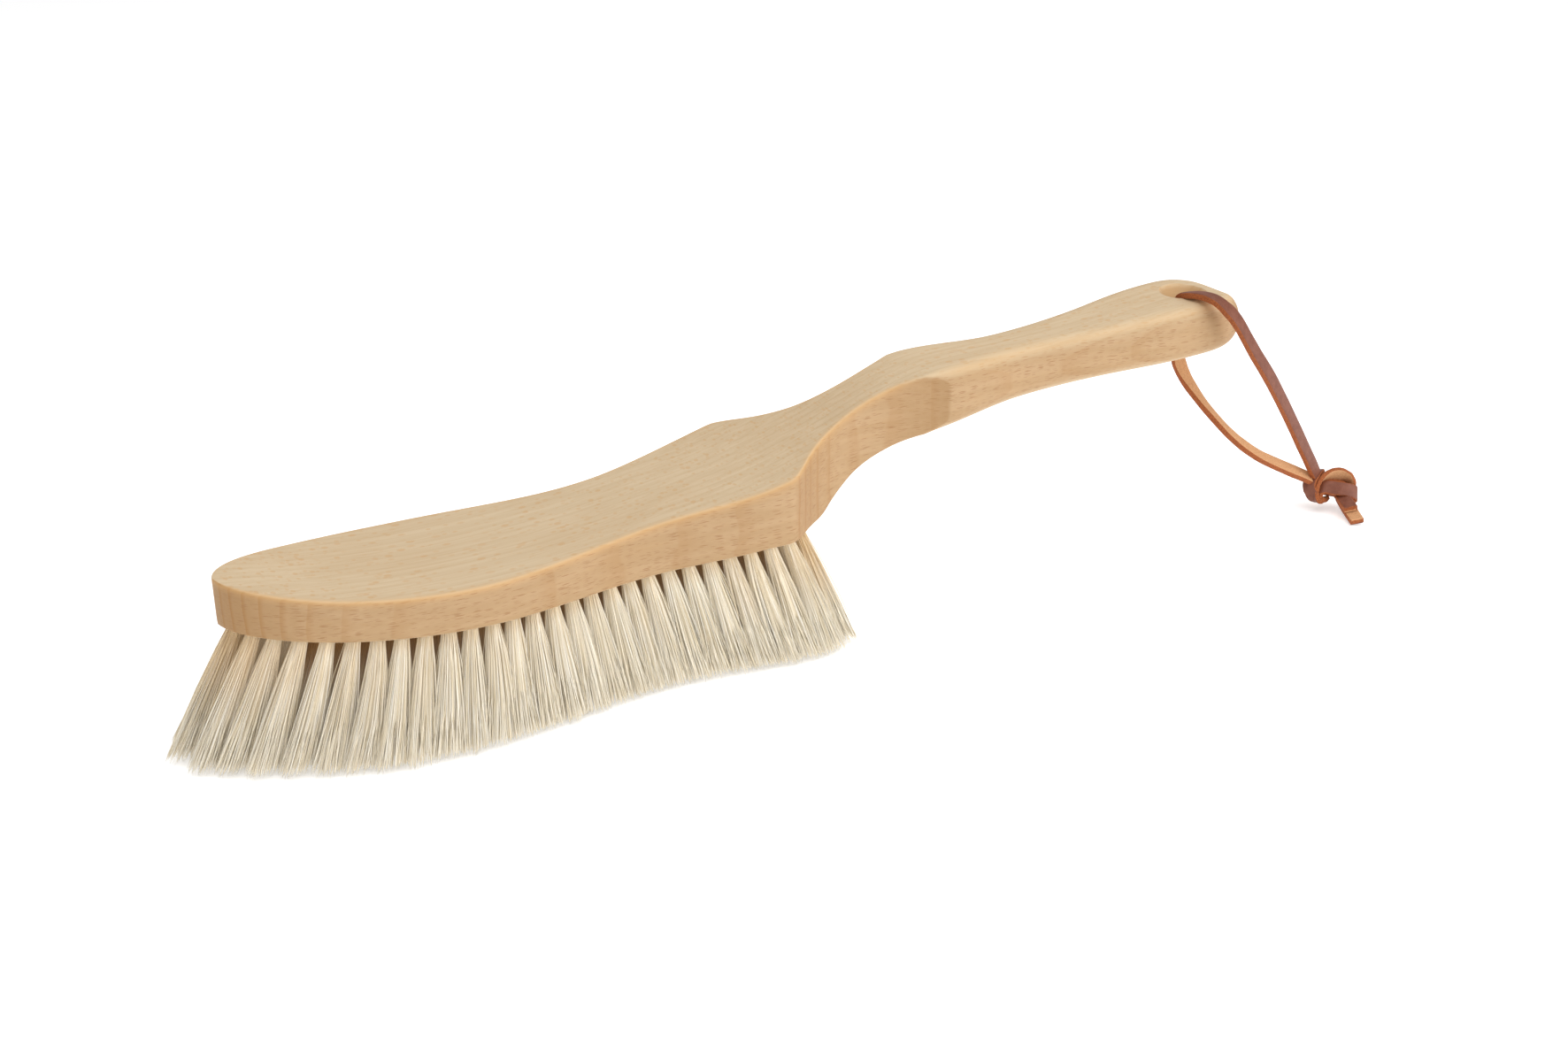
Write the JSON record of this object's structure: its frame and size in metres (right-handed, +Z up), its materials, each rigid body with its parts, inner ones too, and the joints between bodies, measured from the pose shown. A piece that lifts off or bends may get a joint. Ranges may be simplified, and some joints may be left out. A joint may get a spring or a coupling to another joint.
{
  "type": "bee brush",
  "caption": "Beech hand brush with a waisted head, scalloped neck and slim handle, rows of pale splayed bristle tufts and a leather hanging lace knotted through the handle's end.",
  "frame": {"origin": "under the middle of the brush's length and width, on the plane the bristle tips stand on (measured without the lace)", "axes": "+X along the brush from the nose of the head to the handle's end, +Y across to the side away from the lace's leg, +Z up from the bristle tips to the handle"},
  "size_m": [0.3896, 0.0805, 0.08],
  "materials": {
    "beech": "bare, finely sanded, unvarnished",
    "bristle": "natural cream hair, slightly glossy, trimmed ends",
    "wire": "drawn wire",
    "lace": "brown grain side, tan flesh side and edges"
  },
  "bodies": {
    "brush": {"block": "beech", "tufts_01": "bristle", "tufts_02": "bristle", "tufts_03": "bristle", "tufts_04": "bristle", "tufts_05": "bristle", "tufts_06": "bristle", "tufts_07": "bristle", "tufts_08": "bristle", "tufts_09": "bristle", "tufts_10": "bristle", "tufts_11": "bristle", "tufts_12": "bristle", "tufts_13": "bristle", "tufts_14": "bristle", "tufts_15": "bristle", "tufts_16": "bristle", "tufts_17": "bristle", "tufts_18": "bristle", "tufts_19": "bristle", "tufts_20": "bristle", "tufts_21": "bristle", "tufts_22": "bristle", "tufts_23": "bristle", "tufts_24": "bristle", "tufts_25": "bristle", "tufts_26": "bristle", "tufts_27": "bristle", "tufts_28": "bristle", "tuft_wires": "wire"},
    "lace_loop": {"lace_upper": "lace", "lace_in_hole": "lace", "lace_lower": "lace", "lace_knot": "lace", "lace_tail_a": "lace", "lace_tail_b": "lace"}
  },
  "joints": [
    {"name": "loop_swing", "type": "hinge", "parent": "brush", "child": "lace_loop", "pos_m": [0.156, 0, 0.068], "axis": [0, 0, 1], "range_deg": [-30, 90]}
  ]
}
